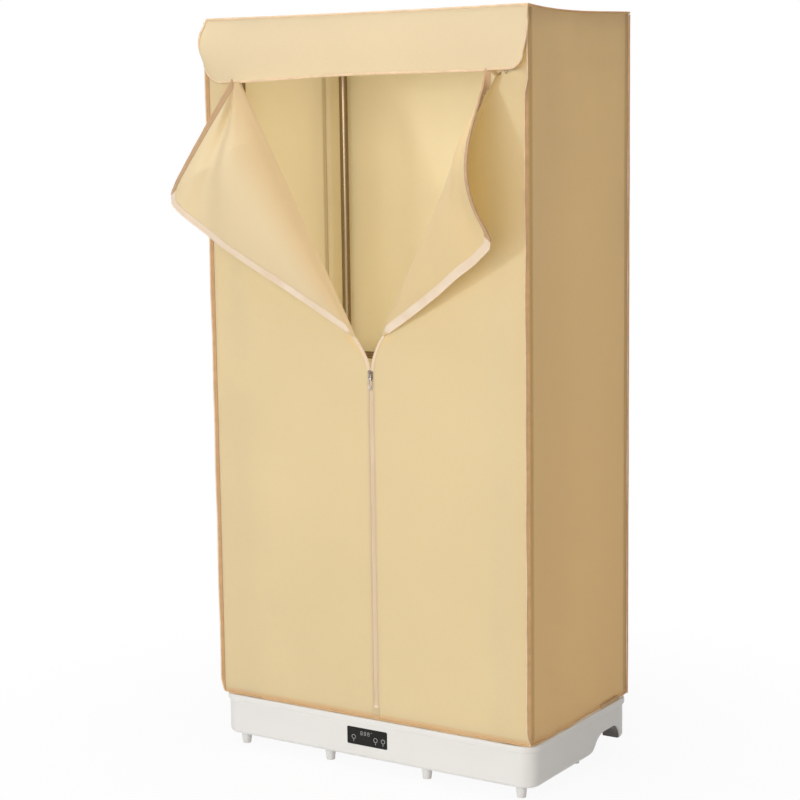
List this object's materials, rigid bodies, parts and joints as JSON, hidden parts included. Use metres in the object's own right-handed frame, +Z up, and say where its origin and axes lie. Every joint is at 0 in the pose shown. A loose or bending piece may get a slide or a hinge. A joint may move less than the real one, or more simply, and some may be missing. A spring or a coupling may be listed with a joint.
{
  "type": "wardrobe clothes dryer",
  "caption": "Tall cloth wardrobe on a tube frame over a moulded base whose fan and heater dry the clothes hung inside; zipped front with fold-out corners and a valance.",
  "frame": {"origin": "on the floor under the middle of the cabinet, on the tip of the centre foot", "axes": "+Z up, +Y to the back, +X to the right seen from the front"},
  "size_m": [0.8161, 0.5762, 1.5596],
  "materials": {
    "base_white": "semi-gloss moulded",
    "deck_white": "fine moulded grain",
    "screw_steel": "zinc plated",
    "grille_grey": "fine moulded grain",
    "fan_black": "satin moulded",
    "motor_steel": "drawn can",
    "duct_steel": "galvanised sheet",
    "heater_alloy": "bare fins",
    "cutout_black": "satin moulded",
    "panel_black": "polished window",
    "display_dark": "satin moulded",
    "board_green": "solder mask",
    "relay_black": "satin moulded",
    "gland_black": "matt",
    "joint_white": "satin moulded",
    "tube_steel": "polished tube",
    "cover_cloth": "coated plain weave",
    "piping_cord": "folded binding",
    "zip_teeth": "moulded coil",
    "zip_metal": "nickel plated"
  },
  "bodies": {
    "cabinet": {"base_shell": "base_white", "feet": "base_white", "base_deck": "deck_white", "deck_screws": "screw_steel", "outlet_grille": "grille_grey", "intake_grille": "grille_grey", "fan_frame": "fan_black", "fan_motor": "motor_steel", "heater_duct": "duct_steel", "ptc_heater": "heater_alloy", "thermal_cutout": "cutout_black", "control_panel": "panel_black", "display_module": "display_dark", "control_board": "board_green", "relays": "relay_black", "cord_gland": "gland_black", "mid_joints": "joint_white", "top_joints": "joint_white", "rod_tees": "joint_white", "lower_post_front_left": "tube_steel", "lower_post_front_right": "tube_steel", "lower_post_rear_left": "tube_steel", "lower_post_rear_right": "tube_steel", "upper_post_front_left": "tube_steel", "upper_post_front_right": "tube_steel", "upper_post_rear_left": "tube_steel", "upper_post_rear_right": "tube_steel", "top_rail_front": "tube_steel", "top_rail_rear": "tube_steel", "top_rail_left": "tube_steel", "top_rail_right": "tube_steel", "mid_rail_rear": "tube_steel", "mid_rail_left": "tube_steel", "mid_rail_right": "tube_steel", "hanging_rod_front": "tube_steel", "hanging_rod_rear": "tube_steel", "cover_back": "cover_cloth", "cover_left": "cover_cloth", "cover_right": "cover_cloth", "cover_top": "cover_cloth", "front_header": "cover_cloth", "front_left_panel": "cover_cloth", "front_right_panel": "cover_cloth", "left_fold": "cover_cloth", "right_fold": "cover_cloth", "edge_piping": "piping_cord", "zip_row_left": "zip_teeth", "zip_row_right": "zip_teeth", "zip_stop": "zip_teeth"},
    "fan_rotor": {"fan_rotor": "fan_black"},
    "left_lapel": {"left_lapel": "cover_cloth"},
    "right_lapel": {"right_lapel": "cover_cloth"},
    "top_zip_slider": {"top_zip_slider": "zip_metal"},
    "valance": {"valance": "cover_cloth"},
    "zip_pull": {"zip_pull": "zip_metal"},
    "zip_slider": {"zip_slider": "zip_metal"}
  },
  "joints": [
    {"name": "fan_spin", "type": "hinge", "parent": "cabinet", "child": "fan_rotor", "pos_m": [0, -0.075, 0.04], "axis": [0, 0, 1], "continuous": true},
    {"name": "zip_slide", "type": "slide", "parent": "cabinet", "child": "zip_slider", "axis": [0, 0, -1], "range_m": [0, 0.675]},
    {"name": "zip_pull_swing", "type": "hinge", "parent": "zip_slider", "child": "zip_pull", "pos_m": [0.0145, -0.2175, 0.836], "axis": [-1, 0, 0], "range_deg": [0, 150]},
    {"name": "valance_lift", "type": "hinge", "parent": "cabinet", "child": "valance", "pos_m": [0, -0.21363, 1.55763], "axis": [-1, 0, 0], "range_deg": [0, 150]},
    {"name": "left_lapel_fold", "type": "hinge", "parent": "cabinet", "child": "left_lapel", "pos_m": [0.00976, -0.2144, 0.87115], "axis": [-0.4903, -0.0094, 0.8715], "range_deg": [0, 165], "deforming": ["left_fold"]},
    {"name": "right_lapel_fold", "type": "hinge", "parent": "cabinet", "child": "right_lapel", "pos_m": [0.01924, -0.2144, 0.87114], "axis": [-0.4759, 0.0094, -0.8794], "range_deg": [0, 155], "deforming": ["right_fold"]},
    {"name": "top_zip_slide", "type": "slide", "parent": "cabinet", "child": "top_zip_slider", "axis": [1, 0, 0], "range_m": [0, 0.03]}
  ]
}
